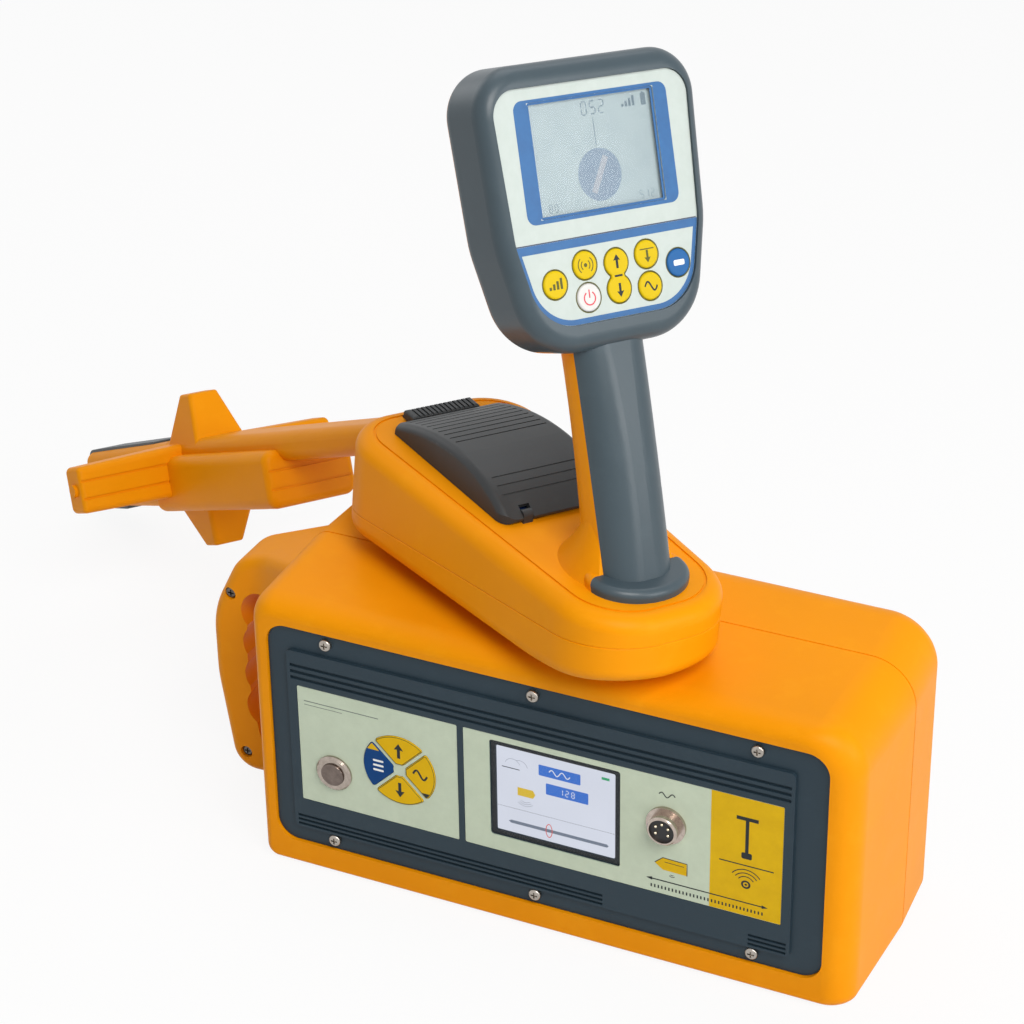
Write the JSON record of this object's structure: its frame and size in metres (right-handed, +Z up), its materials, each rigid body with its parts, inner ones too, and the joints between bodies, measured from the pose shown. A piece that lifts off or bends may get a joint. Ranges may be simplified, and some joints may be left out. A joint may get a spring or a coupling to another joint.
{
  "type": "cable locator",
  "caption": "Orange cable locator: transmitter case with carry handle and front panel, and a hand-held receiver with display head and aerial blade lying on top",
  "frame": {"origin": "centre of the transmitter case's underside, without its handle", "axes": "+X to the right along the front panel, -Y out of the front panel, +Z up"},
  "size_m": [0.6464, 0.3502, 0.4703],
  "materials": {
    "orange_case": "moulded orange ABS, fine texture",
    "slate_panel": "moulded slate ABS",
    "grey_plastic": "moulded grey ABS",
    "rib_rubber": "moulded black rubber",
    "green_label": "printed polycarbonate film",
    "pale_faceplate": "printed polycarbonate film",
    "window": "clear acrylic",
    "display": "display module",
    "yellow_key": "silicone rubber",
    "blue_key": "silicone rubber",
    "white_key": "silicone rubber",
    "nickel": "nickel-plated brass",
    "steel": "zinc-plated steel",
    "black_plastic": "moulded black nylon",
    "gold_pin": "gold-plated brass",
    "board": "glass-fibre circuit board",
    "battery": "shrink-wrapped cells",
    "ferrite": "sintered ferrite",
    "copper": "enamelled copper wire"
  },
  "bodies": {
    "transmitter": {"front_case": "orange_case", "rear_case": "orange_case", "carry_handle_front": "orange_case", "carry_handle_rear": "orange_case", "front_panel": "slate_panel", "case_seal": "rib_rubber", "panel_gasket": "rib_rubber", "panel_label_left": "green_label", "panel_label_right": "green_label", "display_window": "window", "display_module": "display", "power_switch_body": "nickel", "power_switch_nut": "nickel", "output_socket": "nickel", "socket_nut": "nickel", "case_screws": "steel", "handle_screws": "steel", "panel_screws": "steel", "socket_insert": "black_plastic", "rod_holders": "black_plastic", "socket_pins": "gold_pin", "keypad_board": "board", "main_board": "board", "output_board": "board", "battery_pack": "battery", "ferrite_rod": "ferrite", "rod_winding": "copper"},
    "receiver": {"receiver_lower_shell": "orange_case", "receiver_upper_shell": "orange_case", "receiver_screws": "steel", "receiver_battery": "battery", "hinge_pin": "steel", "hinge_ears": "black_plastic", "grip_front": "grey_plastic", "grip_rear": "orange_case", "receiver_faceplate": "pale_faceplate", "receiver_window": "window", "receiver_display": "display", "receiver_board": "board", "blade_upper_shell": "orange_case", "blade_lower_shell": "orange_case", "tip_guard": "grey_plastic", "lateral_rod": "ferrite", "lateral_windings": "copper", "vertical_rod": "ferrite", "vertical_winding": "copper"},
    "power_button": {"power_button": "nickel"},
    "up_key": {"up_key": "yellow_key"},
    "down_key": {"down_key": "yellow_key"},
    "frequency_key": {"frequency_key": "yellow_key"},
    "info_key": {"info_key": "blue_key"},
    "receiver_volume_key": {"receiver_volume_key": "yellow_key"},
    "receiver_frequency_key": {"receiver_frequency_key": "yellow_key"},
    "receiver_power_key": {"receiver_power_key": "white_key"},
    "receiver_depth_key": {"receiver_depth_key": "yellow_key"},
    "receiver_light_key": {"receiver_light_key": "yellow_key"},
    "receiver_info_key": {"receiver_info_key": "blue_key"},
    "receiver_rocker_key": {"receiver_rocker_key": "yellow_key"},
    "battery_cover": {"battery_cover": "rib_rubber"},
    "cover_latch": {"cover_latch": "rib_rubber"}
  },
  "joints": [
    {"name": "receiver_lift", "type": "slide", "parent": "transmitter", "child": "receiver", "axis": [0, 0, 1], "range_m": [0, 0.25]},
    {"name": "power_button_press", "type": "slide", "parent": "transmitter", "child": "power_button", "axis": [0, 1, 0], "range_m": [0, 0.0016], "stiffness_N_per_m": 300, "springref_m": -0.002},
    {"name": "up_key_press", "type": "slide", "parent": "transmitter", "child": "up_key", "axis": [0, 1, 0], "range_m": [0, 0.0006], "stiffness_N_per_m": 300, "springref_m": -0.001},
    {"name": "down_key_press", "type": "slide", "parent": "transmitter", "child": "down_key", "axis": [0, 1, 0], "range_m": [0, 0.0006], "stiffness_N_per_m": 300, "springref_m": -0.001},
    {"name": "frequency_key_press", "type": "slide", "parent": "transmitter", "child": "frequency_key", "axis": [0, 1, 0], "range_m": [0, 0.0006], "stiffness_N_per_m": 300, "springref_m": -0.001},
    {"name": "info_key_press", "type": "slide", "parent": "transmitter", "child": "info_key", "axis": [0, 1, 0], "range_m": [0, 0.0006], "stiffness_N_per_m": 300, "springref_m": -0.001},
    {"name": "volume_key_push", "type": "slide", "parent": "receiver", "child": "receiver_volume_key", "axis": [-0.8182, 0.4473, -0.3613], "range_m": [0, 0.0007], "stiffness_N_per_m": 300, "springref_m": -0.001},
    {"name": "frequency_key_push", "type": "slide", "parent": "receiver", "child": "receiver_frequency_key", "axis": [-0.8182, 0.4473, -0.3613], "range_m": [0, 0.0007], "stiffness_N_per_m": 300, "springref_m": -0.001},
    {"name": "power_key_push", "type": "slide", "parent": "receiver", "child": "receiver_power_key", "axis": [-0.8182, 0.4473, -0.3613], "range_m": [0, 0.0007], "stiffness_N_per_m": 300, "springref_m": -0.001},
    {"name": "depth_key_push", "type": "slide", "parent": "receiver", "child": "receiver_depth_key", "axis": [-0.8182, 0.4473, -0.3613], "range_m": [0, 0.0007], "stiffness_N_per_m": 300, "springref_m": -0.001},
    {"name": "light_key_push", "type": "slide", "parent": "receiver", "child": "receiver_light_key", "axis": [-0.8182, 0.4473, -0.3613], "range_m": [0, 0.0007], "stiffness_N_per_m": 300, "springref_m": -0.001},
    {"name": "info_key_push", "type": "slide", "parent": "receiver", "child": "receiver_info_key", "axis": [-0.8182, 0.4473, -0.3613], "range_m": [0, 0.0007], "stiffness_N_per_m": 300, "springref_m": -0.001},
    {"name": "rocker_tilt", "type": "hinge", "parent": "receiver", "child": "receiver_rocker_key", "pos_m": [0.0115, -0.0035, 0.36492], "axis": [-0.5122, -0.8525, 0.1045], "range_deg": [-3, 3], "stiffness_Nm_per_rad": 0.2},
    {"name": "cover_swing", "type": "hinge", "parent": "receiver", "child": "battery_cover", "pos_m": [-0.01836, -0.00536, 0.22733], "axis": [0.5122, 0.8525, -0.1045], "range_deg": [0, 60]},
    {"name": "latch_slide", "type": "slide", "parent": "battery_cover", "child": "cover_latch", "axis": [0.8509, -0.5202, -0.0728], "range_m": [0, 0.003], "stiffness_N_per_m": 300, "springref_m": -0.004}
  ]
}
